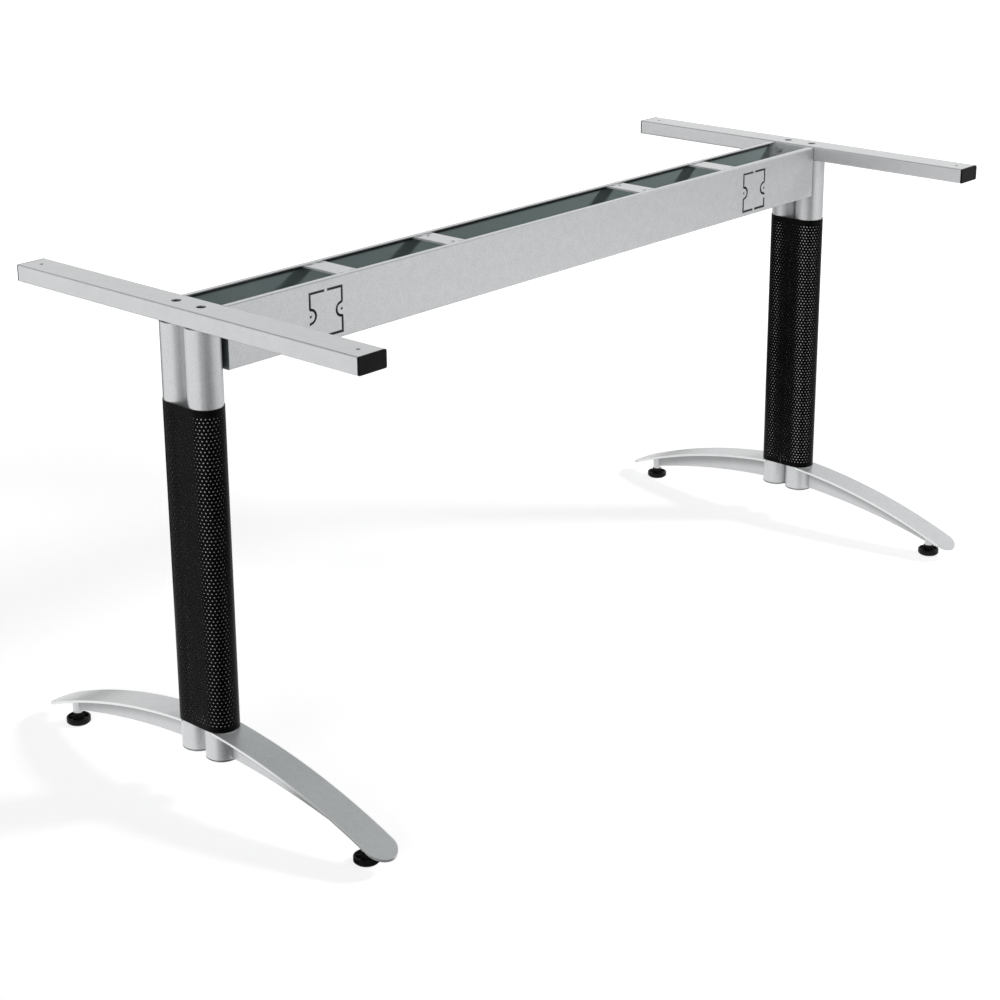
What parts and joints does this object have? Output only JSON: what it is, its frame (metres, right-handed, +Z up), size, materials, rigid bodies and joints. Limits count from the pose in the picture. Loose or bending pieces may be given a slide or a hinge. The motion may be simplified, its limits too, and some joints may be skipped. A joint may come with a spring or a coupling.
{
  "type": "desk underframe",
  "caption": "Steel desk underframe: twin-column legs in perforated sleeves, arched feet with levelling glides, top arms and an open cable beam.",
  "frame": {"origin": "on the floor below the middle of the frame", "axes": "+X along the beam towards the right leg, +Y to the rear, +Z up"},
  "size_m": [1.502, 0.728, 0.725],
  "materials": {
    "silver_paint": "silver powder coat",
    "sleeve_paint": "satin black coat",
    "black_plastic": "moulded",
    "zinc_steel": "zinc plated"
  },
  "bodies": {
    "frame": {"beam_channel": "silver_paint", "left_arm_bolts": "zinc_steel", "left_beam_bolts": "zinc_steel", "left_beam_washers": "zinc_steel", "left_end_plate": "silver_paint", "left_front_arm_cap": "black_plastic", "left_front_column": "silver_paint", "left_front_column_insert": "zinc_steel", "left_front_column_plug": "silver_paint", "left_front_foot_plate": "silver_paint", "left_front_foot_web": "silver_paint", "left_front_glide_socket": "silver_paint", "left_inner_strap": "silver_paint", "left_outer_strap": "silver_paint", "left_rear_arm_cap": "black_plastic", "left_rear_column": "silver_paint", "left_rear_column_insert": "zinc_steel", "left_rear_column_plug": "silver_paint", "left_rear_foot_plate": "silver_paint", "left_rear_foot_web": "silver_paint", "left_rear_glide_socket": "silver_paint", "left_rivet_nuts": "zinc_steel", "left_sleeve": "sleeve_paint", "left_top_arm": "silver_paint", "right_arm_bolts": "zinc_steel", "right_beam_bolts": "zinc_steel", "right_beam_washers": "zinc_steel", "right_end_plate": "silver_paint", "right_front_arm_cap": "black_plastic", "right_front_column": "silver_paint", "right_front_column_insert": "zinc_steel", "right_front_column_plug": "silver_paint", "right_front_foot_plate": "silver_paint", "right_front_foot_web": "silver_paint", "right_front_glide_socket": "silver_paint", "right_inner_strap": "silver_paint", "right_outer_strap": "silver_paint", "right_rear_arm_cap": "black_plastic", "right_rear_column": "silver_paint", "right_rear_column_insert": "zinc_steel", "right_rear_column_plug": "silver_paint", "right_rear_foot_plate": "silver_paint", "right_rear_foot_web": "silver_paint", "right_rear_glide_socket": "silver_paint", "right_rivet_nuts": "zinc_steel", "right_sleeve": "sleeve_paint", "right_top_arm": "silver_paint"},
    "left_front_glide": {"left_front_glide_pad": "black_plastic", "left_front_glide_stud": "zinc_steel"},
    "left_rear_glide": {"left_rear_glide_pad": "black_plastic", "left_rear_glide_stud": "zinc_steel"},
    "right_front_glide": {"right_front_glide_pad": "black_plastic", "right_front_glide_stud": "zinc_steel"},
    "right_rear_glide": {"right_rear_glide_pad": "black_plastic", "right_rear_glide_stud": "zinc_steel"}
  },
  "joints": [
    {"name": "left_front_glide_screw", "type": "slide", "parent": "frame", "child": "left_front_glide", "axis": [0, 0, 1], "range_m": [-0.012, 0]},
    {"name": "left_rear_glide_screw", "type": "slide", "parent": "frame", "child": "left_rear_glide", "axis": [0, 0, 1], "range_m": [-0.012, 0]},
    {"name": "right_front_glide_screw", "type": "slide", "parent": "frame", "child": "right_front_glide", "axis": [0, 0, 1], "range_m": [-0.012, 0]},
    {"name": "right_rear_glide_screw", "type": "slide", "parent": "frame", "child": "right_rear_glide", "axis": [0, 0, 1], "range_m": [-0.012, 0]}
  ]
}
